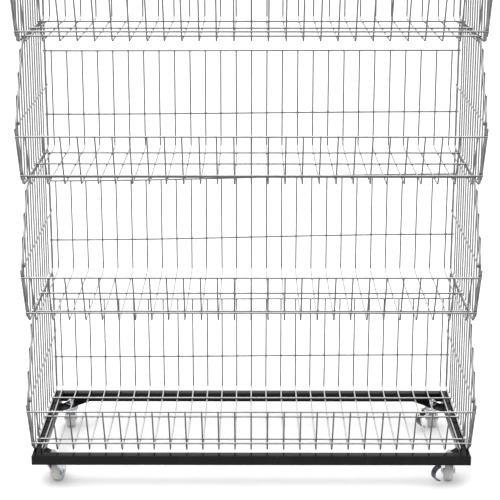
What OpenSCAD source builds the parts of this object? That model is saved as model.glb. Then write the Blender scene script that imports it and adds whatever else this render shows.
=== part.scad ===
// Wire shelf cart: stacked open-front wire baskets on a wheeled square-tube base.
// Millimetres, +Z up, front towards -Y, origin on the floor under the middle of the cart.

/* [Base frame] */
// Width of the tube base, left to right
base_w = 900; // [600:10:1200]
// Depth of the tube base, front to back
base_d = 356; // [280:2:480]
// Outside size of the square tube
tube = 20; // [16:1:30]
// Wall of the square tube
tube_wall = 1.5; // [1:0.1:2.5]
// Thickness of the diagonal corner straps
strap_t = 3; // [2:0.5:5]
// Width of the diagonal corner straps
strap_w = 30; // [24:1:40]
// Distance of each caster bolt from both outer edges of the base
caster_inset = 40; // [36:1:60]

/* [Baskets] */
// Height from one basket to the next
tier_pitch = 282; // [220:2:360]
// Distance of the side frames' outer faces inside the ends of the base
basket_inset = 1; // [0:0.5:4]
// Space between neighbouring mesh wires
mesh_pitch = 33.3; // [20:0.1:40]
// Least room between the outermost mesh wires and the outer face of the side frames
mesh_side_room = 12; // [10:1:30]
// Distance of the back panel behind the back of the base
back_overhang = 10; // [2:1:20]
// Open height from the back panel's top rail to the level of the next basket
back_gap = 66; // [20:1:120]
// Height of the middle back rail
back_mid_h = 79; // [40:1:120]
// Distance from the front of the base to the foot of the front panel
front_foot_y = 26; // [10:1:50]
// Height of the front top rail
front_h = 109; // [70:1:150]
// Height of the front bottom rail
front_low_h = 23; // [14:1:40]
// Forward lean of the front panel, in degrees
front_lean = 25; // [0:1:30]
// Height of the side frames' most forward corner above the front top rail
nose_rise = 23; // [18:1:50]
// Distance from the front of the base to the upper front corner of the side frames
side_top_y = 73; // [20:1:160]
// Height of that corner below the top of the side frame
side_top_drop = 6; // [0:1:20]
// Distance of the first floor cross wire behind the foot of the front panel
cross_front_gap = 46; // [20:1:80]
// Distance of the last floor cross wire in front of the back panel
cross_back_gap = 72; // [20:1:100]
// Distance of the middle floor cross wire behind the midpoint of the other two
cross_mid_shift = 6; // [0:1:20]
// Spacing of the upright wires in the side panels
side_pitch = 30; // [24:1:50]

/* [Wires] */
// Mesh wire
wire_d = 3; // [2:0.1:4]
// Cross wires and rails
rail_d = 4; // [3:0.1:5]
// Side frame wire
side_d = 4.5; // [4:0.1:6]
// Bend radius of the mesh wires, on the wire's centre line
mesh_bend_r = 8; // [5:0.5:14]
// Bend radius of the side frames, on the wire's centre line
side_bend_r = 12; // [6:0.5:20]
// Diameter of the black ball on the end of each middle side wire
tip_d = 7; // [6:0.5:12]

/* [Casters] */
// Height of the casters above the tops of their wheels
caster_head = 18; // [16:1:30]
// Wheel diameter
wheel_d = 40; // [30:1:46]
// Wheel width
wheel_w = 20; // [12:1:22]
// Diameter of the wheel's plastic centre
core_d = 26; // [18:1:28]
// Distance of the axle behind the swivel bolt
trail = 18; // [8:1:20]
// Swivel bolt diameter
bolt_d = 8; // [6:1:10]
// Axle diameter
axle_d = 5; // [4:0.5:7]
// Sheet thickness of the forks
fork_t = 2; // [1.5:0.1:3]
// Diameter of the bearing cups
cup_d = 34; // [28:1:38]
// Headings of the four casters: front left, front right, rear left, rear right
headings = [-18, -8, 9, -7]; // [-180:1:180]
// Width of the brake pedals
pedal_w = 14; // [8:1:18]
// Angle of the brake pedals around the swivel bolt, forward from the left of the fork
pedal_turn = 35; // [0:1:45]

/* [Hidden] */
$fn = 48;
weld_gap = 0.02;
seat_gap = 0.05;
run_gap = 0.08;
side_gap = 1.2;
corners = ["front_left", "front_right", "rear_left", "rear_right"];
tiers = [1, 2, 3, 4];

// Levels and planes
caster_h = wheel_d + caster_head;
base_top = caster_h + tube;
basket_w = base_w - 2*basket_inset;
mesh_count = 2*floor((basket_w/2 - mesh_side_room)/mesh_pitch) + 1;
back_y = base_d + back_overhang;
back_h = tier_pitch - back_gap;
nose_h = front_h + nose_rise;
cross_first = front_foot_y + cross_front_gap;
cross_last = back_y - cross_back_gap;
floor_cross_y = [cross_first, (cross_first + cross_last)/2 + cross_mid_shift, cross_last];
front_dir = [-sin(front_lean), cos(front_lean)];
front_out = [-cos(front_lean), -sin(front_lean)];
mesh_z = side_d - wire_d/2;
cross_z = side_d + rail_d/2 + weld_gap;
rail_off = (wire_d + rail_d)/2 + weld_gap;
frame_off = (side_d - wire_d)/2;
frame_x = (basket_w - side_d)/2;
upright_x = basket_w/2 + wire_d/2 + weld_gap;
middle_x = frame_x - (side_d + wire_d)/2 - weld_gap;
rail_half = upright_x + wire_d/2;
side_top_z = tier_pitch - side_d/2 - seat_gap;

// The mesh's front line and points on it, as [y, z] from the base's front edge and top
function on_front(z) = [front_foot_y - (z - mesh_z)*tan(front_lean), z];
mesh_top = on_front(front_h + rail_d/2);
function rail_on_front(z) = on_front(z - front_out[1]*rail_off) + front_out*rail_off;

// Side frame corners: back bottom, front bottom, nose, upper front, upper back
frame_back_y = back_y - frame_off;
function frame_front(z) = [on_front(z)[0] + frame_off/cos(front_lean), z];
side_path = [
    [frame_back_y, side_d/2],
    frame_front(side_d/2),
    frame_front(nose_h),
    [side_top_y, side_top_z - side_top_drop],
    [side_top_y + 2*side_bend_r, side_top_z],
    [frame_back_y, side_top_z]
];
nose_half_turn = (turn_at(side_path, 2))/2;
nose_front_y = side_path[2][0] + side_bend_r*(1/cos(nose_half_turn) - 1);
middle_front_z = nose_h + 4;
middle_back_z = nose_h + 10;
tip_y = nose_front_y - side_d/2 - tip_d/2 - seat_gap;

// Front to back extent, which sets the origin in the middle
rail_back_y = back_y + rail_off + rail_d/2;
y_min = tip_y - tip_d/2;
front_y = -(y_min + rail_back_y)/2;

// Casters
axle_z = wheel_d/2 - caster_h;
cup_h = 5.7;
plate_r = cup_d/2 + 1;
fork_top = -6;
fork_plate = 2.5;
leg_x = wheel_w/2 + side_gap;
leg_r = 7;
flare_z = -16;
washer_t = 1.6;
washer_d = bolt_d*2.125;
nut_h = bolt_d*0.8;
nut_d = bolt_d*1.875;
bolt_end = strap_t + washer_t + nut_h + 5;
strap_mid = 2*caster_inset;
strap_half = strap_w/sqrt(2);
pedal_pin_x = -plate_r - 3;
pedal_pin_z = -13;
pedal_pin_d = 3;
ear_r = 3;
ear_gap = 0.5;
pedal_t = 2;
pedal_r = 15;
knuckle_r = 3.4;
ear_t = 2;

function corner_x(i) = (i % 2 == 0 ? -1 : 1)*(base_w/2 - caster_inset);
function corner_y(i) = front_y + (i < 2 ? caster_inset : base_d - caster_inset);
function tier_z(n) = base_top + (n - 1)*tier_pitch;

// Turn, in degrees, at corner i of a closed or open path
function angle_of(v) = atan2(v[1], v[0]);
function wrap(a) = a > 180 ? a - 360 : (a < -180 ? a + 360 : a);
function turn_at(p, i) = abs(wrap(angle_of(p[i + 1] - p[i]) - angle_of(p[i] - p[i - 1])));

black = [0.04, 0.04, 0.045];
zinc = [0.74, 0.76, 0.79];
steel = [0.55, 0.57, 0.6];
dark = [0.16, 0.17, 0.19];
grey = [0.7, 0.7, 0.68];

// ---- Wire helpers ----

// Round bar from a to b
module bar(a, b, d) {
    v = b - a;
    translate(a)
        rotate([0, acos(v[2]/norm(v)), atan2(v[1], v[0])])
            cylinder(h = norm(v), d = d);
}

// Bent wire through a list of [y, z] points in the plane x = 0. Each straight and each bend is
// its own solid, a hair apart from the next. closed joins the last point to the first.
module bent_wire(points, d, r, closed = false) {
    n = len(points);
    last = closed ? n : n - 1;
    function at(i) = points[(i + n) % n];
    function dir(i) = (at(i + 1) - at(i))/norm(at(i + 1) - at(i));
    function bends(i) = closed || (i > 0 && i < n - 1);
    function turn(i) = wrap(angle_of(dir(i)) - angle_of(dir(i - 1)));
    function cut(i) = bends(i) ? r*tan(abs(turn(i))/2) + weld_gap : 0;
    rotate([90, 0, 90]) {
        for (i = [0:last - 1]) {
            a = at(i) + dir(i)*cut(i);
            b = at(i + 1) - dir(i)*cut(i + 1);
            bar([a[0], a[1], 0], [b[0], b[1], 0], d);
        }
        for (i = [0:n - 1])
            if (bends(i)) {
                t = turn(i);
                side = t > 0 ? 1 : -1;
                left = [-dir(i - 1)[1], dir(i - 1)[0]];
                middle = at(i) - dir(i - 1)*r*tan(abs(t)/2) + left*side*r;
                start = t > 0 ? angle_of(-left) : angle_of([-dir(i)[1], dir(i)[0]]);
                translate([middle[0], middle[1], 0])
                    rotate(start)
                        rotate_extrude(angle = abs(t))
                            translate([r, 0])
                                circle(d = d);
            }
    }
}

// ---- Base frame ----

// Mitred square tube of the given length along X, outer edge on y = 0
module mitred_tube(length) {
    difference() {
        translate([-length/2, 0, 0]) cube([length, tube, tube]);
        translate([-length/2 - 1, tube_wall, tube_wall])
            cube([length + 2, tube - 2*tube_wall, tube - 2*tube_wall]);
        for (s = [-1, 1])
            translate([s*length/2, 0, -1])
                linear_extrude(tube + 2)
                    polygon([[s*2, -2], [-s*(tube + 1), tube + 1], [s*2, tube + 1]]);
    }
}

module base_rail(side) {
    places = [[[0, 0], 0, base_w], [[0, base_d], 180, base_w],
              [[-base_w/2, base_d/2], -90, base_d], [[base_w/2, base_d/2], 90, base_d]];
    p = places[side];
    color(black)
        translate([p[0][0], front_y + p[0][1], caster_h])
            rotate(p[1])
                mitred_tube(p[2]);
}

module corner_strap(i) {
    near = strap_mid - strap_half - tube;
    far = strap_mid + strap_half - tube;
    sx = i % 2 == 0 ? 1 : -1;
    sy = i < 2 ? 1 : -1;
    color(black)
        difference() {
            translate([-sx*base_w/2, front_y + (i < 2 ? 0 : base_d), caster_h])
                linear_extrude(strap_t)
                    polygon([[sx*tube, sy*near], [sx*near, sy*tube], [sx*far, sy*tube], [sx*tube, sy*far]]);
            at_caster(i) translate([0, 0, -1]) cylinder(h = strap_t + 2, d = bolt_d + 0.4);
        }
}

// ---- Casters ----

module at_caster(i) {
    translate([corner_x(i), corner_y(i), caster_h]) children();
}

module at_fork(i) {
    at_caster(i) rotate(headings[i]) children();
}

module caster_nuts() {
    color(zinc)
        for (i = [0:3])
            at_caster(i)
                translate([0, 0, strap_t + washer_t])
                    difference() {
                        cylinder(h = nut_h, d = nut_d, $fn = 6);
                        translate([0, 0, -1]) cylinder(h = nut_h + 2, d = bolt_d + 0.1);
                    }
}

module caster_washers() {
    color(zinc)
        for (i = [0:3])
            at_caster(i)
                translate([0, 0, strap_t])
                    difference() {
                        cylinder(h = washer_t, d = washer_d);
                        translate([0, 0, -1]) cylinder(h = washer_t + 2, d = bolt_d + 0.4);
                    }
}

// Swivel bolt with its bearing cup and the riveted head that carries the fork
module bolt(i) {
    head_top = fork_top - fork_plate - seat_gap;
    color(zinc)
        at_caster(i) {
            translate([0, 0, head_top - 1]) cylinder(h = bolt_end - head_top + 1, d = bolt_d);
            translate([0, 0, -cup_h]) cylinder(h = cup_h, d = cup_d);
            translate([0, 0, head_top - 2]) cylinder(h = 2, d = bolt_d + 5);
        }
}

module at_pedal(i) {
    at_fork(i) rotate(pedal_turn) translate([pedal_pin_x, 0, pedal_pin_z]) children();
}

module fork(i) {
    braked = i % 2 == 1;
    color(zinc)
        difference() {
            union() {
                at_fork(i) {
                    translate([0, 0, fork_top - fork_plate]) cylinder(h = fork_plate, r = plate_r);
                    for (s = [-1, 1]) fork_leg(s);
                }
                if (braked)
                    for (y = [-pedal_w/2 - ear_gap - ear_t, pedal_w/2 + ear_gap])
                        at_pedal(i)
                            translate([-ear_r, y, -ear_r])
                                cube([2*ear_r + 2, ear_t, fork_top - pedal_pin_z + ear_r - 0.5]);
            }
            at_fork(i) {
                translate([0, 0, fork_top - fork_plate - 1])
                    cylinder(h = fork_plate + 2, d = bolt_d + 2*run_gap);
                translate([-leg_x - fork_t - 1, trail, axle_z])
                    rotate([0, 90, 0])
                        cylinder(h = 2*(leg_x + fork_t) + 2, d = axle_d + 0.04);
            }
            if (braked)
                at_pedal(i)
                    rotate([90, 0, 0])
                        cylinder(h = 2*pedal_w, d = pedal_pin_d + 0.04, center = true);
        }
}

// Pressed leg that flares out to the rim of the fork's top plate
module fork_leg(s) {
    out = leg_x + fork_t;
    rim = plate_r - 3;
    top = fork_top - 0.5;
    translate([min(s*leg_x, s*out), 0, 0])
        rotate([90, 0, 90])
            linear_extrude(fork_t) {
                translate([trail, axle_z]) circle(r = leg_r);
                polygon([[-8, flare_z + 0.5], [trail + leg_r, flare_z + 0.5],
                         [trail + leg_r, axle_z], [trail - leg_r, axle_z]]);
            }
    translate([0, trail + leg_r, 0])
        rotate([90, 0, 0])
            linear_extrude(8 + trail + leg_r)
                polygon([[s*leg_x, flare_z], [s*out, flare_z], [s*rim, top], [s*(rim - fork_t - 0.6), top]]);
}

module axle(i) {
    out = leg_x + fork_t + seat_gap;
    color(steel)
        at_fork(i)
            translate([0, trail, axle_z])
                rotate([0, 90, 0]) {
                    translate([0, 0, -out]) cylinder(h = 2*out, d = axle_d);
                    for (z = [-out - 1.5, out]) translate([0, 0, z]) cylinder(h = 1.5, d = axle_d + 3.5);
                }
}

module wheel_core(i) {
    color(grey)
        at_fork(i)
            translate([-wheel_w/2, trail, axle_z])
                rotate([0, 90, 0])
                    difference() {
                        union() {
                            translate([0, 0, 1]) cylinder(h = wheel_w - 2, d = core_d);
                            translate([0, 0, -side_gap/2]) cylinder(h = wheel_w + side_gap, d = axle_d + 5);
                        }
                        translate([0, 0, -2]) cylinder(h = wheel_w + 4, d = axle_d + 2*run_gap);
                    }
}

module tyre(i) {
    soft = 3;
    color(grey)
        at_fork(i)
            translate([-wheel_w/2, trail, axle_z])
                rotate([0, 90, 0])
                    rotate_extrude()
                        polygon([[core_d/2, 0], [wheel_d/2 - soft, 0], [wheel_d/2 - soft*0.3, soft*0.5],
                                 [wheel_d/2, soft*1.3], [wheel_d/2, wheel_w - soft*1.3],
                                 [wheel_d/2 - soft*0.3, wheel_w - soft*0.5], [wheel_d/2 - soft, wheel_w],
                                 [core_d/2, wheel_w]]);
}

module pedal_pin(i) {
    color(steel)
        at_pedal(i)
            rotate([90, 0, 0])
                cylinder(h = pedal_w + 2*(ear_gap + ear_t), d = pedal_pin_d, center = true);
}

// Curved steel pedal that hangs from its pin at the front of the fork
module brake_pedal(i) {
    color(dark)
        at_pedal(i)
            translate([0, pedal_w/2, 0])
                rotate([90, 0, 0])
                    difference() {
                        union() {
                            cylinder(h = pedal_w, r = knuckle_r);
                            translate([-1, -pedal_r - knuckle_r + pedal_t/2, 0])
                                rotate(90)
                                    rotate_extrude(angle = 175)
                                        translate([pedal_r - pedal_t/2, 0]) square([pedal_t, pedal_w]);
                            translate([-2, -knuckle_r, 0]) cube([2, 2, pedal_w]);
                        }
                        translate([0, 0, -1]) cylinder(h = pedal_w + 2, d = pedal_pin_d + 2*run_gap);
                    }
}

// ---- Baskets ----

module at_tier(n) {
    translate([0, front_y, tier_z(n)]) children();
}

// U-shaped wires that run down the back, along the floor and up the front
module mesh_wires(n) {
    path = [[back_y, back_h + rail_d/2], [back_y, mesh_z], [front_foot_y, mesh_z], mesh_top];
    color(zinc)
        at_tier(n)
            for (i = [0:mesh_count - 1])
                translate([(i - (mesh_count - 1)/2)*mesh_pitch, 0, 0])
                    bent_wire(path, wire_d, mesh_bend_r);
}

module cross_wire(y, z, half) {
    bar([-half, y, z], [half, y, z], rail_d);
}

module cross_rails(n) {
    color(zinc)
        at_tier(n) {
            for (z = [back_mid_h, back_h]) cross_wire(back_y + rail_off, z, rail_half);
            for (y = floor_cross_y) cross_wire(y, cross_z, basket_w/2);
            for (z = [front_low_h, front_h]) {
                p = rail_on_front(z);
                cross_wire(p[0], p[1], rail_half);
            }
        }
}

// Height of the lower and the upper side frame wire at a distance y
function side_low(y) = y > side_path[1][0] ? side_d/2
    : side_path[1][1] + (side_path[1][0] - y)/tan(front_lean);
function side_high(y) = y > side_path[4][0] ? side_top_z
    : y > side_path[3][0] ? between(side_path[3], side_path[4], y)
    : between(side_path[2], side_path[3], y);
function between(a, b, y) = a[1] + (b[1] - a[1])*(y - a[0])/(b[0] - a[0]);

module side_panel(n, s) {
    room = frame_back_y - nose_front_y;
    count = floor((room - side_pitch/3)/side_pitch);
    color(zinc)
        at_tier(n) {
            translate([s*frame_x, 0, 0]) bent_wire(side_path, side_d, side_bend_r, closed = true);
            for (i = [1:count]) {
                y = frame_back_y - i*side_pitch;
                bar([s*upright_x, y, side_low(y)], [s*upright_x, y, side_high(y)], wire_d);
            }
            bar([s*middle_x, tip_y, middle_front_z], [s*middle_x, frame_back_y, middle_back_z], wire_d);
            low = on_front(side_bend_r);
            high = on_front(nose_h - side_bend_r/2);
            bar([s*upright_x, low[0], low[1]], [s*upright_x, high[0], high[1]], wire_d);
        }
}

module tip_balls(n) {
    slope = [0, frame_back_y - tip_y, middle_back_z - middle_front_z];
    color(black)
        at_tier(n)
            for (s = [-1, 1])
                difference() {
                    translate([s*middle_x, tip_y, middle_front_z]) sphere(d = tip_d);
                    bar([s*middle_x, tip_y, middle_front_z] - slope*0.0001,
                        [s*middle_x, tip_y, middle_front_z] + slope*0.03, wire_d + 2*weld_gap);
                }
}

for (k = [0:3]) {
    side = ["front", "back", "left", "right"][k];
    base_rail(k);
    corner_strap(k);
    bolt(k);
    fork(k);
    axle(k);
    wheel_core(k);
    tyre(k);
}
for (k = [1, 3]) {
    pedal_pin(k);
    brake_pedal(k);
}
caster_nuts();
caster_washers();
for (n = tiers) {
    mesh_wires(n);
    cross_rails(n);
    side_panel(n, -1);
    side_panel(n, 1);
    tip_balls(n);
}
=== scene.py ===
"""Wire shelf cart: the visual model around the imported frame. Metres, +Z up, front towards -Y."""
import math
import random

import bmesh
import bpy
from mathutils import Matrix, Vector


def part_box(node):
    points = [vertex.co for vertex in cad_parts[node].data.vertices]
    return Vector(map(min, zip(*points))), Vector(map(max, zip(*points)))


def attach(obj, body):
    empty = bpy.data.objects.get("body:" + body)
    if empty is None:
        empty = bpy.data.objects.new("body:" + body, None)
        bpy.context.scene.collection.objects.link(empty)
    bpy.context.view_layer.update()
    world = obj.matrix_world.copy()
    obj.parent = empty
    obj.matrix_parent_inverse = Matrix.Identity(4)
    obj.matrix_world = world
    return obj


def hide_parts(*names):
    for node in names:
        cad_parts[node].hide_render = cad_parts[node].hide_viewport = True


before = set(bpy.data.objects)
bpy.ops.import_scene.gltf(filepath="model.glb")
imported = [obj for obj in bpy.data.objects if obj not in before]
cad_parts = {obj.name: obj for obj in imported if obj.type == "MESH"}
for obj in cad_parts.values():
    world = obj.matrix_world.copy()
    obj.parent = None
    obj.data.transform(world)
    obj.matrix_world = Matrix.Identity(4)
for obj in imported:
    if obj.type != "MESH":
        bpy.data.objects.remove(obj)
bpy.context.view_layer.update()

MM = 0.001
rng = random.Random(7)

# ---- Sizes shared with the CAD model ----

WIRE_R = 1.5 * MM
RAIL_R = 2.0 * MM
SIDE_R = 2.25 * MM
HAIR = 0.02 * MM
SEAT = 0.05 * MM
MESH_COUNT = 27
MESH_PITCH = 33.3 * MM
MESH_BEND = 8 * MM
SIDE_BEND = 12 * MM
BASKET_W = 898 * MM
TIER_PITCH = 282 * MM
BACK_Y = 366 * MM
BACK_GAP = 66 * MM
BACK_RAILS = (79 * MM, TIER_PITCH - BACK_GAP)
FRONT_RAILS = (23 * MM, 109 * MM)
FOOT_Y = 26 * MM
LEAN = math.radians(25)
NOSE_RISE = 23 * MM
NOSE_H = FRONT_RAILS[1] + NOSE_RISE
SIDE_TOP_Y = 73 * MM
SIDE_TOP_DROP = 6 * MM
CROSS_FRONT = FOOT_Y + 46 * MM
CROSS_BACK = BACK_Y - 72 * MM
CROSS_MIDDLE = (CROSS_FRONT + CROSS_BACK) / 2 + 6 * MM
FLOOR_CROSS = (CROSS_FRONT, CROSS_MIDDLE, CROSS_BACK)
UPRIGHT_PITCH = 30 * MM
MIDDLE_FRONT_RISE = 4 * MM
MIDDLE_BACK_RISE = 10 * MM
TIP_R = 3.5 * MM
TUBE = 20 * MM
STRAP_T = 3 * MM
BOLT_R = 4 * MM
CUP_R = 17 * MM
WHEEL_R = 20 * MM
WHEEL_W = 20 * MM
CORE_R = 13 * MM
AXLE_R = 2.5 * MM
TRAIL = 18 * MM

CORNERS = ("front_left", "front_right", "rear_left", "rear_right")
BRAKED = ("front_right", "rear_right")
# Degrees by which each fork is turned about its bolt at rest
HEADINGS = dict(zip(CORNERS, (-18, -8, 9, -7)))
TIERS = (1, 2, 3, 4)

# ---- Details that only the visual model has ----

TUBE_CORNER = 1.2 * MM
THREAD_PITCH = 1.25 * MM
DOME_R = 0.55
DOME_L = 0.28
WANDER_STEP = 40 * MM
RAIL_STEP = 60 * MM
MESH_WANDER = 1.1 * MM
UPRIGHT_BOW = 0.7 * MM
FRONT_WELD = (1.7 * MM, 0.9 * MM, 1.6 * MM)
BACK_WELD = (1.7 * MM, 0.9 * MM, 1.75 * MM)
FLOOR_WELD = (1.7 * MM, 1.7 * MM, 0.9 * MM)
UPRIGHT_WELD = (0.9 * MM, 1.7 * MM, 1.8 * MM)
MIDDLE_WELD = (0.9 * MM, 2 * MM, 1.8 * MM)
NOISE_LOW = 0.3
NOISE_HIGH = 0.7

# ---- Places taken from the frame ----

front_rail_lo, front_rail_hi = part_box("base_rail_front")
FRONT_Y = front_rail_lo.y
BASE_Z = front_rail_lo.z
BASE_TOP = front_rail_hi.z
BASE_HALF_W = front_rail_hi.x
BASE_BACK_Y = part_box("base_rail_back")[1].y
BASE_DEPTH = BASE_BACK_Y - FRONT_Y

MESH_Z = 2 * SIDE_R - WIRE_R
CROSS_Z = 2 * SIDE_R + RAIL_R + HAIR
RAIL_OFF = WIRE_R + RAIL_R + HAIR
FRAME_OFF = SIDE_R - WIRE_R
FRAME_X = BASKET_W / 2 - SIDE_R
UPRIGHT_X = BASKET_W / 2 + WIRE_R + HAIR
MIDDLE_X = FRAME_X - SIDE_R - WIRE_R - HAIR
RAIL_HALF = UPRIGHT_X + WIRE_R
SIDE_TOP_Z = TIER_PITCH - SIDE_R - SEAT
MESH_PLACES = [(i - (MESH_COUNT - 1) / 2) * MESH_PITCH for i in range(MESH_COUNT)]


def along_x(x):
    return Vector((x, 0, 0))


def tier_origin(n):
    """Front edge of the base, at the level that basket n stands on."""
    return Vector((0, FRONT_Y, BASE_TOP + (n - 1) * TIER_PITCH))


def on_front(z):
    """Point of the front panel's wire line at height z."""
    return Vector((0, FOOT_Y - (z - MESH_Z) * math.tan(LEAN), z))


def frame_front(z):
    """Point at height z of the side frame's front stretch, which lies flush with the panel."""
    return on_front(z) + Vector((0, FRAME_OFF / math.cos(LEAN), 0))


def rail_on_front(z):
    """Centre of a cross rail at height z, on the outside of the front panel's wires."""
    out = Vector((0, -math.cos(LEAN), -math.sin(LEAN)))
    return on_front(z - out.z * RAIL_OFF) + out * RAIL_OFF


SIDE_PATH = [
    Vector((0, BACK_Y - FRAME_OFF, SIDE_R)),
    frame_front(SIDE_R),
    frame_front(NOSE_H),
    Vector((0, SIDE_TOP_Y, SIDE_TOP_Z - SIDE_TOP_DROP)),
    Vector((0, SIDE_TOP_Y + 2 * SIDE_BEND, SIDE_TOP_Z)),
    Vector((0, BACK_Y - FRAME_OFF, SIDE_TOP_Z)),
]


# ---- Mesh building ----

class Build:
    """Gathers vertices and faces of many small shapes into one mesh object."""

    def __init__(self):
        self.verts = []
        self.faces = []

    def ring(self, centre, u, v, radius, sides):
        """Adds a circle of vertices in the plane of u and v, and gives the first one's index."""
        first = len(self.verts)
        for k in range(sides):
            a = 2 * math.pi * k / sides
            self.verts.append(centre + (u * math.cos(a) + v * math.sin(a)) * radius)
        return first

    def join(self, a, b, sides):
        """Faces between two rings, given by the index of their first vertices."""
        for k in range(sides):
            n = (k + 1) % sides
            self.faces.append((a + k, a + n, b + n, b + k))

    def tube(self, path, radius, sides=14, closed=False, radii=None):
        """Round bar swept along a path, with slightly domed ends."""
        count = len(path)
        tangents = []
        for i in range(count):
            back = path[i - 1] if closed or i > 0 else path[i]
            ahead = path[(i + 1) % count] if closed or i < count - 1 else path[i]
            tangents.append((ahead - back).normalized())
        u = tangents[0].orthogonal().normalized()
        rings = []
        for i, (p, t) in enumerate(zip(path, tangents)):
            u = (u - t * u.dot(t)).normalized()
            v = t.cross(u)
            r = radii[i] if radii else radius
            if i == 0 and not closed:
                rings.append(self.ring(p, u, v, r * DOME_R, sides))
                rings.append(self.ring(p + t * r * DOME_L, u, v, r, sides))
            elif i == count - 1 and not closed:
                rings.append(self.ring(p - t * r * DOME_L, u, v, r, sides))
                rings.append(self.ring(p, u, v, r * DOME_R, sides))
            else:
                rings.append(self.ring(p, u, v, r, sides))
        for a, b in zip(rings, rings[1:]):
            self.join(a, b, sides)
        if closed:
            self.join(rings[-1], rings[0], sides)
        else:
            self.faces.append(tuple(range(rings[0], rings[0] + sides))[::-1])
            self.faces.append(tuple(range(rings[-1], rings[-1] + sides)))

    def blob(self, centre, size, sides=8, rows=5):
        """Small ellipsoid, such as a spot weld's bead. size is its three half sizes."""
        top = len(self.verts)
        self.verts.append(centre + Vector((0, 0, size[2])))
        first = len(self.verts)
        for j in range(1, rows):
            e = math.pi * j / rows
            for k in range(sides):
                a = 2 * math.pi * k / sides
                self.verts.append(centre + Vector((size[0] * math.sin(e) * math.cos(a),
                                                   size[1] * math.sin(e) * math.sin(a),
                                                   size[2] * math.cos(e))))
        bottom = len(self.verts)
        self.verts.append(centre - Vector((0, 0, size[2])))
        for k in range(sides):
            n = (k + 1) % sides
            self.faces.append((top, first + k, first + n))
            last = first + (rows - 2) * sides
            self.faces.append((bottom, last + n, last + k))
            for j in range(rows - 2):
                a = first + j * sides
                self.faces.append((a + k, a + sides + k, a + sides + n, a + n))

    def lathe(self, profile, place, sides=48, closed=False):
        """Turns (radius, height) points round +Z and puts the shape at place, a 4x4 matrix."""
        start = len(self.verts)
        for r, h in profile:
            for k in range(sides):
                a = 2 * math.pi * k / sides
                self.verts.append(place @ Vector((r * math.cos(a), r * math.sin(a), h)))
        count = len(profile)
        for i in range(count if closed else count - 1):
            self.join(start + i * sides, start + ((i + 1) % count) * sides, sides)
        if not closed:
            self.faces.append(tuple(range(start, start + sides))[::-1])
            last = start + (count - 1) * sides
            self.faces.append(tuple(range(last, last + sides)))

    def object(self, name, material, crease=40):
        """Makes the gathered shapes into an object; edges sharper than crease degrees stay sharp."""
        mesh = bpy.data.meshes.new(name)
        mesh.from_pydata([tuple(v) for v in self.verts], [], self.faces)
        work = bmesh.new()
        work.from_mesh(mesh)
        bmesh.ops.recalc_face_normals(work, faces=work.faces)
        work.to_mesh(mesh)
        work.free()
        return finish_mesh(name, mesh, material, crease)


def add_object(name, data):
    piece = bpy.data.objects.new(name, data)
    bpy.context.scene.collection.objects.link(piece)
    return piece


def finish_mesh(name, mesh, material, crease=40):
    mesh.materials.clear()
    mesh.materials.append(material)
    mesh.shade_smooth()
    mesh.set_sharp_from_angle(angle=math.radians(crease))
    return add_object(name, mesh)


def place_piece(piece, body, slot, *nodes):
    """Gives a piece its body and hides the CAD nodes that it stands for; slot is not used."""
    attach(piece, body)
    if nodes:
        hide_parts(*nodes)
    return piece


def softened(node, name, material, width, body, slot):
    """A copy of a CAD node with its edges rounded, which stands for that node."""
    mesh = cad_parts[node].data.copy()
    work = bmesh.new()
    work.from_mesh(mesh)
    bmesh.ops.remove_doubles(work, verts=work.verts, dist=2e-6)
    bmesh.ops.dissolve_limit(work, angle_limit=math.radians(2), verts=work.verts, edges=work.edges)
    work.to_mesh(mesh)
    work.free()
    piece = finish_mesh(name, mesh, material, 32)
    bevel = piece.modifiers.new("rounded_edges", "BEVEL")
    bevel.width = width
    bevel.segments = 2
    bevel.limit_method = "ANGLE"
    bevel.angle_limit = math.radians(40)
    bevel.use_clamp_overlap = True
    bevel.harden_normals = True
    return place_piece(piece, body, slot, node)


def rounded(points, radius, closed=False, steps=7):
    """The path through points, with an arc of the given radius at each corner."""
    count = len(points)
    path = []
    for i, p in enumerate(points):
        if not closed and i in (0, count - 1):
            path.append(p.copy())
            continue
        a = (p - points[i - 1]).normalized()
        b = (points[(i + 1) % count] - p).normalized()
        turn = a.angle(b)
        cut = radius * math.tan(turn / 2)
        normal = (b - a * a.dot(b)).normalized()
        middle = p - a * cut + normal * radius
        for k in range(steps + 1):
            t = turn * k / steps
            path.append(middle - normal * radius * math.cos(t) + a * radius * math.sin(t))
    return path


def subdivided(path, step):
    """The path with extra points on its long straights, so that a wire can wander a little."""
    out = [path[0]]
    for a, b in zip(path, path[1:]):
        parts = max(1, int((b - a).length / step))
        for k in range(1, parts + 1):
            out.append(a.lerp(b, k / parts))
    return out


# ---- Materials ----

def new_material(name):
    material = bpy.data.materials.new(name)
    material.use_nodes = True
    nodes = material.node_tree.nodes
    return material, nodes, material.node_tree.links, nodes["Principled BSDF"]


def place_nodes(nodes):
    return nodes.new("ShaderNodeTexCoord").outputs["Object"]


def noise(nodes, links, coords, scale, detail=3.0, stretch=None):
    if stretch:
        mapping = nodes.new("ShaderNodeMapping")
        mapping.inputs["Scale"].default_value = stretch
        links.new(coords, mapping.inputs["Vector"])
        coords = mapping.outputs["Vector"]
    tex = nodes.new("ShaderNodeTexNoise")
    tex.inputs["Scale"].default_value = scale
    tex.inputs["Detail"].default_value = detail
    links.new(coords, tex.inputs["Vector"])
    return tex.outputs["Fac"]


def ramp(nodes, links, value, stops):
    """Maps a 0 to 1 value through (position, colour) stops."""
    node = nodes.new("ShaderNodeValToRGB")
    elements = node.color_ramp.elements
    while len(elements) < len(stops):
        elements.new(0.5)
    for element, (position, colour) in zip(elements, stops):
        element.position = position
        element.color = (*colour, 1) if len(colour) == 3 else colour
    links.new(value, node.inputs["Fac"])
    return node.outputs["Color"]


def grey(v):
    return (v, v, v)


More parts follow.
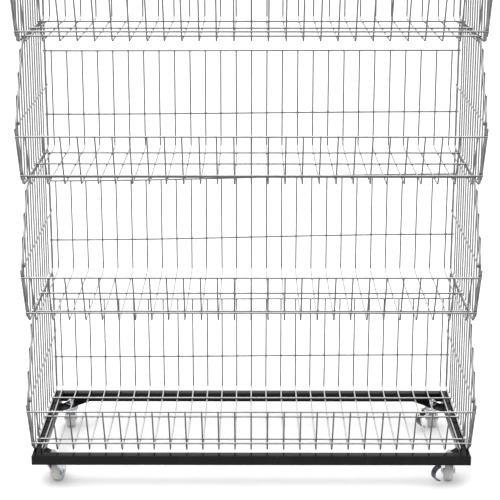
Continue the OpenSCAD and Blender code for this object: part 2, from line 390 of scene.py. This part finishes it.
def map_range(nodes, links, value, source, target=(0.0, 1.0)):
    """Maps a value from the source range to the target range, and no further."""
    node = nodes.new("ShaderNodeMapRange")
    node.inputs["From Min"].default_value = source[0]
    node.inputs["From Max"].default_value = source[1]
    node.inputs["To Min"].default_value = target[0]
    node.inputs["To Max"].default_value = target[1]
    links.new(value, node.inputs["Value"])
    return node.outputs["Result"]


def remap(nodes, links, value, low, high):
    """Maps a noise's usual range to low and high."""
    return map_range(nodes, links, value, (NOISE_LOW, NOISE_HIGH), (low, high))


def bump(nodes, links, shader, heights):
    """Chains (value, distance, strength) bumps into the shader's normal."""
    last = None
    for value, distance, strength in heights:
        node = nodes.new("ShaderNodeBump")
        node.inputs["Distance"].default_value = distance
        node.inputs["Strength"].default_value = strength
        links.new(value, node.inputs["Height"])
        if last:
            links.new(last, node.inputs["Normal"])
        last = node.outputs["Normal"]
    links.new(last, shader.inputs["Normal"])


def plated_wire(name, tone, top_light_greys=(0.5, 0.64), level=(0.15, 0.85)):
    """Bright zinc over drawn wire: cloudy passivation, fine draw marks and a few dull spots.

    tone is the grey of upright wires, the pair after it the two greys of painted top light, which
    paints upper faces paler as if lit from above, and level the upward share of the normal over which
    one passes to the other.
    """
    material, nodes, links, shader = new_material(name)
    coords = place_nodes(nodes)
    cloud = noise(nodes, links, coords, 22, 4)
    grain = noise(nodes, links, coords, 900, 2)
    spots = noise(nodes, links, coords, 140, 5)
    cloudy_tone = ramp(nodes, links, cloud, [(0.3, (0.83 * tone, 0.84 * tone, 0.87 * tone)),
                                       (0.55, grey(tone)), (0.75, (1.14 * tone, 1.14 * tone, 1.13 * tone))])
    # Painted light: faces that look upwards get these much paler greys, as if lit from above
    lit_top_colour = ramp(nodes, links, spots, [(0.3, grey(top_light_greys[0])), (0.7, grey(top_light_greys[1]))])
    split = nodes.new("ShaderNodeSeparateXYZ")
    links.new(nodes.new("ShaderNodeNewGeometry").outputs["Normal"], split.inputs["Vector"])
    mix = nodes.new("ShaderNodeMix")
    mix.data_type = "RGBA"
    links.new(map_range(nodes, links, split.outputs["Z"], level), mix.inputs["Factor"])
    links.new(cloudy_tone, mix.inputs["A"])
    links.new(lit_top_colour, mix.inputs["B"])
    links.new(mix.outputs["Result"], shader.inputs["Base Color"])
    links.new(remap(nodes, links, spots, 0.38, 0.54), shader.inputs["Roughness"])
    shader.inputs["Specular Tint"].default_value = (0.35, 0.35, 0.35, 1)
    shader.inputs["Metallic"].default_value = 1.0
    bump(nodes, links, shader, [(grain, 0.02 * MM, 0.35), (spots, 0.05 * MM, 0.3)])
    return material


def zinc_sheet():
    """Zinc-plated pressed steel: bluish, with a rolled grain and brighter worn patches."""
    material, nodes, links, shader = new_material("zinc_sheet")
    coords = place_nodes(nodes)
    cloud = noise(nodes, links, coords, 60, 4)
    rolled = noise(nodes, links, coords, 300, 3, (1, 1, 9))
    scratches = noise(nodes, links, coords, 700, 2, (8, 1, 1))
    colour = ramp(nodes, links, cloud, [(0.3, (0.55, 0.59, 0.65)), (0.6, (0.68, 0.71, 0.74)),
                                        (0.8, (0.74, 0.75, 0.75))])
    links.new(colour, shader.inputs["Base Color"])
    links.new(remap(nodes, links, rolled, 0.2, 0.42), shader.inputs["Roughness"])
    shader.inputs["Metallic"].default_value = 1.0
    bump(nodes, links, shader, [(rolled, 0.03 * MM, 0.4), (scratches, 0.02 * MM, 0.25)])
    return material


def black_gloss():
    """Gloss black powder coat: orange peel, a faint dusting, and a little rubbing that dulls it."""
    material, nodes, links, shader = new_material("black_gloss")
    coords = place_nodes(nodes)
    peel = noise(nodes, links, coords, 420, 2)
    swell = noise(nodes, links, coords, 45, 2)
    rub = noise(nodes, links, coords, 12, 6)
    colour = ramp(nodes, links, rub, [(0.35, grey(0.003)), (0.7, (0.006, 0.006, 0.0065))])
    links.new(colour, shader.inputs["Base Color"])
    links.new(remap(nodes, links, rub, 0.16, 0.3), shader.inputs["Roughness"])
    shader.inputs["Specular IOR Level"].default_value = 0.12
    bump(nodes, links, shader, [(peel, 0.03 * MM, 0.3), (swell, 0.12 * MM, 0.25)])
    return material


def black_ball():
    """Glossy moulded black plastic for the wire tips."""
    material, nodes, links, shader = new_material("black_ball")
    coords = place_nodes(nodes)
    wear = noise(nodes, links, coords, 400, 4)
    links.new(ramp(nodes, links, wear, [(0.3, grey(0.008)), (0.75, grey(0.02))]),
              shader.inputs["Base Color"])
    links.new(remap(nodes, links, wear, 0.08, 0.22), shader.inputs["Roughness"])
    shader.inputs["Coat Weight"].default_value = 0.5
    bump(nodes, links, shader, [(wear, 0.02 * MM, 0.3)])
    return material


def grey_rubber():
    """Light grey non-marking rubber, mottled, and dusted where it rolls."""
    material, nodes, links, shader = new_material("grey_rubber")
    coords = place_nodes(nodes)
    mottle = noise(nodes, links, coords, 180, 5)
    fine = noise(nodes, links, coords, 1500, 3)
    links.new(ramp(nodes, links, mottle, [(0.3, (0.43, 0.425, 0.41)), (0.55, (0.5, 0.495, 0.48)),
                                          (0.8, (0.54, 0.535, 0.52))]), shader.inputs["Base Color"])
    links.new(remap(nodes, links, mottle, 0.5, 0.68), shader.inputs["Roughness"])
    bump(nodes, links, shader, [(fine, 0.03 * MM, 0.4), (mottle, 0.1 * MM, 0.3)])
    return material


def grey_plastic():
    """Pale grey moulded nylon of the wheel centres, with faint flow marks."""
    material, nodes, links, shader = new_material("grey_plastic")
    coords = place_nodes(nodes)
    flow = noise(nodes, links, coords, 90, 3, (1, 3, 1))
    fine = noise(nodes, links, coords, 1100, 3)
    links.new(ramp(nodes, links, flow, [(0.3, (0.52, 0.52, 0.51)), (0.7, (0.6, 0.6, 0.585))]),
              shader.inputs["Base Color"])
    links.new(remap(nodes, links, flow, 0.34, 0.5), shader.inputs["Roughness"])
    shader.inputs["Subsurface Weight"].default_value = 0.04
    shader.inputs["Subsurface Radius"].default_value = (0.001, 0.001, 0.001)
    bump(nodes, links, shader, [(fine, 0.02 * MM, 0.3)])
    return material


def dark_steel():
    """Blued spring steel of the brake pedals, brighter where feet rub it."""
    material, nodes, links, shader = new_material("dark_steel")
    coords = place_nodes(nodes)
    rub = noise(nodes, links, coords, 130, 5)
    grain = noise(nodes, links, coords, 900, 2, (1, 6, 1))
    links.new(ramp(nodes, links, rub, [(0.35, (0.05, 0.056, 0.065)), (0.6, (0.085, 0.092, 0.1)),
                                       (0.85, (0.22, 0.23, 0.24))]), shader.inputs["Base Color"])
    links.new(remap(nodes, links, rub, 0.2, 0.34), shader.inputs["Roughness"])
    shader.inputs["Metallic"].default_value = 1.0
    bump(nodes, links, shader, [(grain, 0.03 * MM, 0.35)])
    return material


def rivet_steel():
    """Plain steel of the axles and pins, with turned rings and a touch of oil."""
    material, nodes, links, shader = new_material("rivet_steel")
    coords = place_nodes(nodes)
    cloud = noise(nodes, links, coords, 240, 4)
    fine = noise(nodes, links, coords, 1300, 2)
    links.new(ramp(nodes, links, cloud, [(0.3, (0.36, 0.36, 0.37)), (0.7, (0.5, 0.5, 0.5))]),
              shader.inputs["Base Color"])
    links.new(remap(nodes, links, cloud, 0.24, 0.4), shader.inputs["Roughness"])
    shader.inputs["Metallic"].default_value = 1.0
    bump(nodes, links, shader, [(fine, 0.02 * MM, 0.35)])
    return material


# Painted light and shade: copies of one zinc plating that differ only in grey, set to how bright each set
# of wires looks; the rails are painted darker, the middle wires paler, and the low greys overall paint in
# the dark surroundings that the plating reflects
MESH_PLATED = plated_wire("plated_mesh_wire", 0.15, (0.74, 0.84), (0.3, 0.75))
RAIL_PLATED = plated_wire("plated_rail_wire", 0.12)
SIDE_PLATED = plated_wire("plated_side_wire", 0.2, (0.74, 0.84), (0.5, 0.9))
PALE_PLATED = plated_wire("plated_pale_wire", 0.62)
ZINC = zinc_sheet()
BLACK = black_gloss()
BALL = black_ball()
RUBBER = grey_rubber()
PLASTIC = grey_plastic()
PEDAL = dark_steel()
RIVET = rivet_steel()


# ---- Baskets ----

# How far the right ends of each basket's middle and top back rails are welded above level
BACK_TILT = {1: (2.8 * MM, 1 * MM), 2: (7 * MM, 8 * MM), 3: (3 * MM, 0.6 * MM), 4: (-1 * MM, 1.5 * MM)}


def back_lift(n, rail, x):
    """Height by which a back rail is off level at x: these panels are welded by hand."""
    return BACK_TILT[n][rail] * math.sin(math.pi / 2 * x / RAIL_HALF)


def wandering(path, amount):
    """Lets a hand-bent wire wander sideways by up to amount, and leaves its ends in place."""
    phase, waves = rng.uniform(0, math.tau), rng.uniform(0.8, 2.2)
    lean = rng.uniform(-1, 1) * amount
    count = len(path) - 1
    for i, p in enumerate(path):
        t = i / count
        ripple = 0.3 * amount * math.sin(phase + waves * math.pi * t)
        p.x += math.sin(math.pi * t) * (lean + ripple)
    return path


def mesh_wires(n):
    """Wires bent down the back, along the floor and up the front."""
    build = Build()
    origin = tier_origin(n)
    top = BACK_RAILS[1] + RAIL_R
    points = [Vector((0, BACK_Y, top)), Vector((0, BACK_Y, MESH_Z)),
              Vector((0, FOOT_Y, MESH_Z)), on_front(FRONT_RAILS[1] + RAIL_R)]
    for x in MESH_PLACES:
        points[0].z = top + back_lift(n, 1, x)
        path = wandering(subdivided(rounded(points, MESH_BEND), WANDER_STEP), MESH_WANDER)
        build.tube([origin + p + along_x(x) for p in path], WIRE_R)
    piece = build.object(f"basket_{n}_bent_mesh_wires", MESH_PLATED)
    place_piece(piece, f"basket_{n}", "wire_plating", f"basket_{n}_mesh_wires")


def cross_rails(n):
    """Cross wires and rails, with a spot weld at each crossing."""
    build = Build()
    origin = tier_origin(n)
    fronts = [rail_on_front(z) for z in FRONT_RAILS]
    backs = [Vector((0, BACK_Y + RAIL_OFF, z)) for z in BACK_RAILS]
    floors = [Vector((0, y, CROSS_Z)) for y in FLOOR_CROSS]
    for p, half in [(p, RAIL_HALF) for p in fronts + backs] + [(p, BASKET_W / 2) for p in floors]:
        path = subdivided([origin + p - along_x(half), origin + p + along_x(half)], RAIL_STEP)
        for point in path:
            if p in backs:
                point.z += back_lift(n, backs.index(p), point.x)
        build.tube(path, RAIL_R, 16)
    inward = Vector((0, math.cos(LEAN), math.sin(LEAN)))
    welds = ([(p + inward * RAIL_R, FRONT_WELD) for p in fronts]
             + [(p - Vector((0, RAIL_R, 0)), BACK_WELD) for p in backs]
             + [(p - Vector((0, 0, RAIL_R)), FLOOR_WELD) for p in floors])
    for p, size in welds:
        for x in MESH_PLACES:
            spread = rng.uniform(0.9, 1.2)
            at = origin + p + along_x(x)
            if p.y > BACK_Y:
                at.z += back_lift(n, 0 if p.z < BACK_RAILS[1] else 1, x)
            build.blob(at, [s * spread for s in size])
    piece = build.object(f"basket_{n}_round_cross_rails", RAIL_PLATED)
    place_piece(piece, f"basket_{n}", "wire_plating", f"basket_{n}_cross_rails")


def between(a, b, y):
    """Height at y on the straight line from a to b."""
    return a.z + (b.z - a.z) * (y - a.y) / (b.y - a.y)


def side_low(y):
    """Height of the side frame's lower edge at y."""
    foot = SIDE_PATH[1]
    return SIDE_R if y > foot.y else foot.z + (foot.y - y) / math.tan(LEAN)


def side_high(y):
    """Height of the side frame's upper edge at y."""
    if y > SIDE_PATH[4].y:
        return SIDE_TOP_Z
    if y > SIDE_PATH[3].y:
        return between(SIDE_PATH[3], SIDE_PATH[4], y)
    return between(SIDE_PATH[2], SIDE_PATH[3], y)


def nose_front():
    """The foremost y of the side frame's centre line."""
    half_turn = (SIDE_PATH[2] - SIDE_PATH[1]).angle(SIDE_PATH[3] - SIDE_PATH[2]) / 2
    return SIDE_PATH[2].y + SIDE_BEND * (1 / math.cos(half_turn) - 1)


def uprights(build, origin, s):
    """The wires across the outside of a side frame, each a little bowed, with their welds."""
    back_y = SIDE_PATH[0].y
    count = int((back_y - nose_front() - UPRIGHT_PITCH / 3) / UPRIGHT_PITCH)
    for i in range(1, count + 1):
        y = back_y - i * UPRIGHT_PITCH
        ends = [Vector((s * UPRIGHT_X, y, z)) for z in (side_low(y), side_high(y))]
        path = subdivided([origin + p for p in ends], WANDER_STEP)
        bow = rng.uniform(-UPRIGHT_BOW, UPRIGHT_BOW)
        for k, p in enumerate(path):
            p.y += bow * math.sin(math.pi * k / (len(path) - 1))
        build.tube(path, WIRE_R)
        for end in ends:
            build.blob(origin + end - along_x(s * WIRE_R), UPRIGHT_WELD)


def end_wire(build, origin, s):
    """The wire that follows the front of a side frame, from the floor up to the nose."""
    out = origin + along_x(s * UPRIGHT_X)
    ends = [out + on_front(SIDE_BEND), out + on_front(NOSE_H - SIDE_BEND / 2)]
    build.tube(subdivided(ends, WANDER_STEP), WIRE_R)


def middle_wire(s):
    """Both ends of the wire on the inside of a side frame, from its ball to the back."""
    tip_y = nose_front() - SIDE_R - TIP_R - SEAT
    return (Vector((s * MIDDLE_X, tip_y, NOSE_H + MIDDLE_FRONT_RISE)),
            Vector((s * MIDDLE_X, SIDE_PATH[0].y, NOSE_H + MIDDLE_BACK_RISE)))


def side_panel(n, name, s):
    """Side frame: a bent loop, its uprights on the outside and the middle wire on the inside."""
    build = Build()
    origin = tier_origin(n)
    loop = rounded(SIDE_PATH, SIDE_BEND, closed=True, steps=8)
    build.tube([origin + p + along_x(s * FRAME_X) for p in loop], SIDE_R, 18, closed=True)
    uprights(build, origin, s)
    end_wire(build, origin, s)
    start, end = middle_wire(s)
    for y in (nose_front(), end.y):
        weld = start.lerp(end, (y - start.y) / (end.y - start.y))
        build.blob(origin + weld + along_x(s * WIRE_R), MIDDLE_WELD)
    piece = build.object(f"basket_{n}_{name}_bent_frame", SIDE_PLATED)
    place_piece(piece, f"basket_{n}", "wire_plating", f"basket_{n}_side_{name}")
    middle = Build()
    middle.tube(subdivided([origin + start, origin + end], RAIL_STEP), WIRE_R)
    piece = middle.object(f"basket_{n}_{name}_middle_wire", PALE_PLATED)
    place_piece(piece, f"basket_{n}", "wire_plating")


def ball_profile():
    """Outline of a ball of radius 1 that ends in a short neck, from its foot upwards."""
    steps = 8
    turns = [math.pi * k / steps for k in range(1, steps - 1)]
    arc = [(math.sin(a), -math.cos(a)) for a in turns]
    neck = [(0.6, 0.78), (0.58, 0.96), (0.52, 0.998), (0.42, 0.998)]
    return [(0.0001, -1.0)] + arc + neck


def tip_balls(n):
    """Black moulded balls pushed on the middle wires, with a short neck towards the wire."""
    build = Build()
    for s in (-1, 1):
        start, end = middle_wire(s)
        along = (end - start).to_track_quat("Z", "Y").to_matrix().to_4x4()
        place = Matrix.Translation(tier_origin(n) + start) @ along @ Matrix.Scale(TIP_R, 4)
        build.lathe(ball_profile(), place, 40)
    piece = build.object(f"basket_{n}_moulded_tips", BALL, 50)
    place_piece(piece, f"basket_{n}", "tip_plastic", f"basket_{n}_tip_balls")


# ---- Base frame ----

def tube_section():
    """Rounded square outline of the tube, as (distance from outer face, height) points."""
    near, far = TUBE_CORNER, TUBE - TUBE_CORNER
    steps = 5
    outline = []
    for x, y, first in ((far, far, 0), (near, far, 90), (near, near, 180), (far, near, 270)):
        for k in range(steps + 1):
            a = math.radians(first + 90 * k / steps)
            outline.append((x + TUBE_CORNER * math.cos(a), y + TUBE_CORNER * math.sin(a)))
    return outline


def base_rail(side, angle, length, distance):
    """One mitred tube, turned about the middle of the base, with its corners closed."""
    build = Build()
    outline = tube_section()
    sides = len(outline)
    middle = Vector((0, (FRONT_Y + BASE_BACK_Y) / 2, BASE_Z))
    turn = Matrix.Translation(middle) @ Matrix.Rotation(math.radians(angle), 4, "Z")
    shares = (-1, -0.995, -0.5, 0, 0.5, 0.995, 1)
    for share in shares:
        for inset, height in outline:
            x = share * (length / 2 - inset)
            build.verts.append(turn @ Vector((x, inset - distance, height)))
    for i in range(len(shares) - 1):
        build.join(i * sides, (i + 1) * sides, sides)
    build.faces.append(tuple(range(sides))[::-1])
    last = (len(shares) - 1) * sides
    build.faces.append(tuple(range(last, last + sides)))
    piece = build.object(f"rounded_tube_{side}", BLACK, 50)
    place_piece(piece, "base", "black_paint", f"base_rail_{side}")


def corner_welds():
    """Painted weld beads along the outer and inner corners of the mitres and the strap ends."""
    build = Build()
    strap_bead = BASE_Z + STRAP_T + 0.2 * MM
    from_wall = 0.4 * MM
    from_end = 1.5 * MM
    from_corner = 16 * MM
    for sx in (-1, 1):
        for edge_y, sy in ((FRONT_Y, 1), (BASE_BACK_Y, -1)):
            inward = Vector((-sx, sy, 0))
            corner = Vector((sx * BASE_HALF_W, edge_y, BASE_Z))
            inner = corner + inward * TUBE
            foot = inner + inward * 0.2 * MM
            bead(build, foot + Vector((0, 0, 3.5 * MM)),
                 foot + Vector((0, 0, TUBE - 1.5 * MM)), 1.3 * MM)
            under = corner - Vector((0, 0, 0.1 * MM))
            bead(build, under + inward * 2.2 * MM, under + inward * 18 * MM, 0.8 * MM)
            strap_lo, strap_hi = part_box("corner_strap_" + corner_name(sx, sy))
            end_x = (strap_lo.x if sx > 0 else strap_hi.x) + sx * from_end
            end_y = (strap_hi.y if sy > 0 else strap_lo.y) - sy * from_end
            wall_x = inner.x - sx * from_wall
            wall_y = inner.y + sy * from_wall
            bead(build, Vector((end_x, wall_y, strap_bead)),
                 Vector((inner.x - sx * from_corner, wall_y, strap_bead)), 1.2 * MM)
            bead(build, Vector((wall_x, end_y, strap_bead)),
                 Vector((wall_x, inner.y + sy * from_corner, strap_bead)), 1.2 * MM)
    place_piece(build.object("painted_weld_beads", BLACK, 60), "base", "black_paint")


def corner_name(sx, sy):
    return ("front" if sy > 0 else "rear") + ("_right" if sx > 0 else "_left")


def bead(build, a, b, radius):
    """A rippled weld bead from a to b."""
    step = 0.7 * MM
    count = max(6, int((b - a).length / step))
    path = [a.lerp(b, k / count) for k in range(count + 1)]
    radii = [radius * (0.86 + 0.16 * math.sin(k * 1.9) + rng.uniform(-0.05, 0.05))
             for k in range(count + 1)]
    build.tube(path, radius, 10, radii=radii)


# ---- Casters ----

def caster_place(corner):
    """The swivel bolt's centre at the underside of the base, from the CAD bolt's box."""
    lo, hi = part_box(f"caster_{corner}_bolt")
    return Vector(((lo.x + hi.x) / 2, (lo.y + hi.y) / 2, BASE_Z))


def fork_matrix(corner):
    """Place of a caster's fork: its bolt's centre, turned by the caster's heading."""
    turn = Matrix.Rotation(math.radians(HEADINGS[corner]), 4, "Z")
    return Matrix.Translation(caster_place(corner)) @ turn


def millimetres(profile):
    """A profile given in millimetres, in metres."""
    return [(r * MM, h * MM) for r, h in profile]


def thread_profile(top):
    """Outline of the bolt above its cup: plain shank, then thread up to the chamfered end."""
    radius = BOLT_R / MM
    core, root, shank, crest = radius - 0.5, radius - 0.45, radius - 0.1, radius - 0.02
    end = top / MM
    z = 11.2
    profile = [(core, -0.5), (shank, -0.5), (shank, z - 0.2), (core, z)]
    while z < end - 1.2:
        profile += [(root, z + 0.2), (crest, z + 0.55), (crest, z + 0.7), (root, z + 1.05)]
        z += THREAD_PITCH / MM
    return millimetres(profile + [(core, end - 0.8), (radius - 1.1, end)])


def cup_profile():
    """Outline of the pressed bearing cup: a flat top, the upper race's lip and the lower race."""
    rim = CUP_R / MM
    lip = rim - 0.8
    return millimetres([(rim - 8.5, 0), (rim - 3.5, 0), (lip, -0.6), (rim, -1.5), (rim - 0.1, -2.3),
                        (lip, -2.7), (lip, -3.1), (rim, -3.5), (rim, -4.9), (rim - 0.6, -5.6),
                        (rim - 7.5, -5.7)])


def head_profile(low):
    """Outline of the riveted head, from inside the cup down to its foot."""
    shank = BOLT_R / MM - 0.1
    foot = low / MM
    return millimetres([(shank, -5.6), (shank, foot + 2), (6.2, foot + 2), (6.5, foot + 1.7),
                        (6.2, foot + 0.8), (4.8, foot + 0.15), (2, foot)])


def swivel_bolt(corner):
    """Threaded bolt, pressed bearing cup and riveted head, which don't turn with the fork."""
    lo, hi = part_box(f"caster_{corner}_bolt")
    place = Matrix.Translation(caster_place(corner))
    build = Build()
    build.lathe(thread_profile(hi.z - BASE_Z), place, 32)
    build.lathe(cup_profile(), place, 64)
    build.lathe(head_profile(lo.z - BASE_Z), place, 40)
    piece = build.object(f"caster_{corner}_swivel_bolt", ZINC, 35)
    place_piece(piece, "base", "caster_zinc", f"caster_{corner}_bolt")


def nuts_and_washers():
    """Chamfered hex nuts and slightly dished washers on the straps."""
    nuts, washers = Build(), Build()
    strap_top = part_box("caster_washers")[0].z
    nut_low, nut_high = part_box("caster_nuts")[0].z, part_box("caster_nuts")[1].z
    for corner in CORNERS:
        centre = caster_place(corner)
        flat = Matrix.Translation((centre.x, centre.y, strap_top))
        washers.lathe(millimetres([(4.2, 0), (8.3, 0), (8.5, 0.25), (8.4, 1.4), (8.1, 1.58), (4.4, 1.6),
                                   (4.2, 1.4)]), flat, 40, closed=True)
        hex_nut(nuts, Vector((centre.x, centre.y, nut_low)), nut_high - nut_low)
    place_piece(nuts.object("hex_nuts", ZINC, 25), "base", "caster_zinc", "caster_nuts")
    place_piece(washers.object("dished_washers", ZINC, 35), "base", "caster_zinc", "caster_washers")


def hex_nut(build, foot, height):
    """Hex nut whose corners are cut back by the usual 30 degree chamfer."""
    sides = 48
    half_across = 6.5 * MM
    bore = BOLT_R + 0.05 * MM
    sink = 0.5 * MM
    chamfer, cut = 0.6 * MM, 0.955
    corner = half_across / math.cos(math.pi / 6)
    outside = ((0.0, cut), (chamfer, 1.0), (height - chamfer, 1.0), (height, cut))
    inside = ((height, bore + sink), (height - sink, bore), (sink, bore), (0.0, bore + sink))
    start = len(build.verts)
    for z, share in outside:
        for k in range(sides):
            a = 2 * math.pi * k / sides
            flat = half_across / math.cos((a + math.pi / 6) % (math.pi / 3) - math.pi / 6)
            build.verts.append(foot + turned(min(flat, corner * share), a, z))
    for z, radius in inside:
        for k in range(sides):
            build.verts.append(foot + turned(radius, 2 * math.pi * k / sides, z))
    rows = len(outside) + len(inside)
    for i in range(rows):
        build.join(start + i * sides, start + ((i + 1) % rows) * sides, sides)


def turned(radius, angle, height):
    return Vector((radius * math.cos(angle), radius * math.sin(angle), height))


def mirrored(profile, middle=()):
    """The profile, the points in the middle, and the profile's mirror image about height 0."""
    return profile + list(middle) + [(r, -h) for r, h in reversed(profile)]


def tread_profile():
    """Closed outline of the tyre, with rounded shoulders and a parting line in the middle."""
    half, rim, bore = WHEEL_W / 2 / MM, WHEEL_R / MM, CORE_R / MM
    side = [(bore, 0.2 - half), (bore + 0.4, -half), (rim - 3.2, -half), (rim - 1.5, 0.7 - half),
            (rim - 0.4, 2.2 - half), (rim, 4.2 - half), (rim, -0.25)]
    return millimetres(mirrored(side, [(rim - 0.1, 0)]))


def centre_profile():
    """Closed outline of the wheel's centre: hub, dished web and rim."""
    half, rim = WHEEL_W / 2 / MM, CORE_R / MM
    bore = AXLE_R / MM + 0.08
    hub = half + 0.6
    side = [(bore, -hub), (4.6, -hub), (5, 0.4 - hub), (5.2, 2.6 - half), (9.6, 2.9 - half),
            (rim - 1.8, 1.4 - half), (rim - 1.4, 1 - half), (rim, 1 - half)]
    return millimetres(mirrored(side))


def wheel(corner):
    """Moulded wheel: a crowned tread with a parting line, and a dished centre with ribs."""
    axle = Vector((0, TRAIL, WHEEL_R - BASE_Z))
    turn = fork_matrix(corner) @ Matrix.Translation(axle) @ Matrix.Rotation(math.pi / 2, 4, "Y")
    tread = Build()
    tread.lathe(tread_profile(), turn, 72, closed=True)
    piece = tread.object(f"caster_{corner}_crowned_tread", RUBBER, 30)
    place_piece(piece, f"wheel_{corner}", "tread", f"caster_{corner}_tyre")
    core = Build()
    core.lathe(centre_profile(), turn, 64, closed=True)
    web = WHEEL_W / 2 - 2.3 * MM
    ribs, rib_radius = 6, 0.8 * MM
    for k in range(ribs):
        for z in (-web, web):
            path = [turn @ turned(reach * MM, 2 * math.pi * k / ribs, z) for reach in (4.6, 7, 9.5, 11.6)]
            core.tube(path, rib_radius, 10)
    piece = core.object(f"caster_{corner}_ribbed_centre", PLASTIC, 30)
    place_piece(piece, f"wheel_{corner}", "wheel_plastic", f"caster_{corner}_wheel_core")


def casters():
    for corner in CORNERS:
        swivel_bolt(corner)
        wheel(corner)
        fork = f"fork_{corner}"
        softened(f"caster_{corner}_fork", f"caster_{corner}_pressed_fork", ZINC, 0.45 * MM,
                 fork, "caster_zinc")
        softened(f"caster_{corner}_axle", f"caster_{corner}_domed_axle", RIVET, 0.5 * MM,
                 fork, "rivet_steel")
    for corner in BRAKED:
        softened(f"caster_{corner}_pedal_pin", f"caster_{corner}_round_pin", RIVET, 0.3 * MM,
                 f"fork_{corner}", "rivet_steel")
        softened(f"caster_{corner}_brake_pedal", f"caster_{corner}_curved_pedal", PEDAL, 0.4 * MM,
                 f"pedal_{corner}", "pedal_steel")
    nuts_and_washers()


# ---- Studio ----

FLOOR_REACH = 40
AIM = Vector((0, 0, 0.5))
LENS = 101.8
LENS_SHIFT = -0.10
EYE = Vector((0.0046, FRONT_Y - 2.6687, BASE_Z + 1.2516))
PITCH = math.radians(14.495)
YAW = math.radians(0.151)


def pale_floor():
    """A matt, nearly white floor, so wide that its far edge looks like a horizon."""
    mesh = bpy.data.meshes.new("studio_floor")
    corners = [(x * FLOOR_REACH, y * FLOOR_REACH, 0) for x, y in ((-1, -1), (1, -1), (1, 1), (-1, 1))]
    mesh.from_pydata(corners, [], [(0, 1, 2, 3)])
    material, _, _, shader = new_material("studio_floor")
    shader.inputs["Base Color"].default_value = (0.93, 0.93, 0.93, 1)
    shader.inputs["Roughness"].default_value = 0.9
    shader.inputs["Specular IOR Level"].default_value = 0.1
    mesh.materials.append(material)
    add_object("studio_floor", mesh)


def pale_sky():
    """A white surround, darker high up in front of the cart, so that the wires show on white."""
    world = bpy.data.worlds.new("studio_world")
    bpy.context.scene.world = world
    world.use_nodes = True
    nodes, links = world.node_tree.nodes, world.node_tree.links
    split = nodes.new("ShaderNodeSeparateXYZ")
    links.new(nodes.new("ShaderNodeTexCoord").outputs["Generated"], split.inputs["Vector"])
    sky = ramp(nodes, links, split.outputs["Z"], [(0.0, grey(0.9)), (0.5, grey(1.0))])
    behind = map_range(nodes, links, split.outputs["Y"], (-0.9, 0.9), (0.4, 1.4))
    horizon = map_range(nodes, links, split.outputs["Z"], (0.1, 0.25), (1.0, 0.0))
    strength = nodes.new("ShaderNodeMix")
    strength.inputs["B"].default_value = 1.4
    links.new(horizon, strength.inputs["Factor"])
    links.new(behind, strength.inputs["A"])
    links.new(sky, nodes["Background"].inputs["Color"])
    links.new(strength.outputs["Result"], nodes["Background"].inputs["Strength"])


def softbox(name, place, size, power):
    """A square area light at place, turned towards the cart."""
    light = bpy.data.lights.new(name, "AREA")
    light.shape = "SQUARE"
    light.size = size
    light.energy = power
    lamp = add_object(name, light)
    lamp.location = place
    lamp.rotation_euler = (AIM - Vector(place)).to_track_quat("-Z", "Y").to_euler()


def lights():
    softbox("key_softbox", (-1.6, -2.6, 4.2), 2.4, 62)
    softbox("fill_softbox", (2.6, -2.2, 3.2), 2.0, 26)
    sun = bpy.data.lights.new("soft_sun", "SUN")
    sun.energy = 2.0
    sun.angle = math.radians(60)
    lamp = add_object("soft_sun", sun)
    lamp.rotation_euler = (math.radians(12), math.radians(-8), 0)


def camera():
    """Eye a little above the cart, looking slightly down, with a small downward shift."""
    data = bpy.data.cameras.new("camera")
    data.lens = LENS
    data.sensor_width = 36
    data.shift_y = LENS_SHIFT
    data.clip_end = 100
    eye = add_object("camera", data)
    eye.location = EYE
    eye.rotation_euler = (math.pi / 2 - PITCH, 0, YAW)
    bpy.context.scene.camera = eye


for tier in TIERS:
    mesh_wires(tier)
    cross_rails(tier)
    side_panel(tier, "left", -1)
    side_panel(tier, "right", 1)
    tip_balls(tier)
base_rail("front", 0, 2 * BASE_HALF_W, BASE_DEPTH / 2)
base_rail("back", 180, 2 * BASE_HALF_W, BASE_DEPTH / 2)
base_rail("left", -90, BASE_DEPTH, BASE_HALF_W)
base_rail("right", 90, BASE_DEPTH, BASE_HALF_W)
for corner in CORNERS:
    softened(f"corner_strap_{corner}", f"strap_{corner}_flat_bar", BLACK, 0.6 * MM, "base", "black_paint")
corner_welds()
casters()
pale_floor()
pale_sky()
lights()
camera()
bpy.context.scene.view_settings.view_transform = "Standard"
bpy.context.scene.view_settings.look = "None"
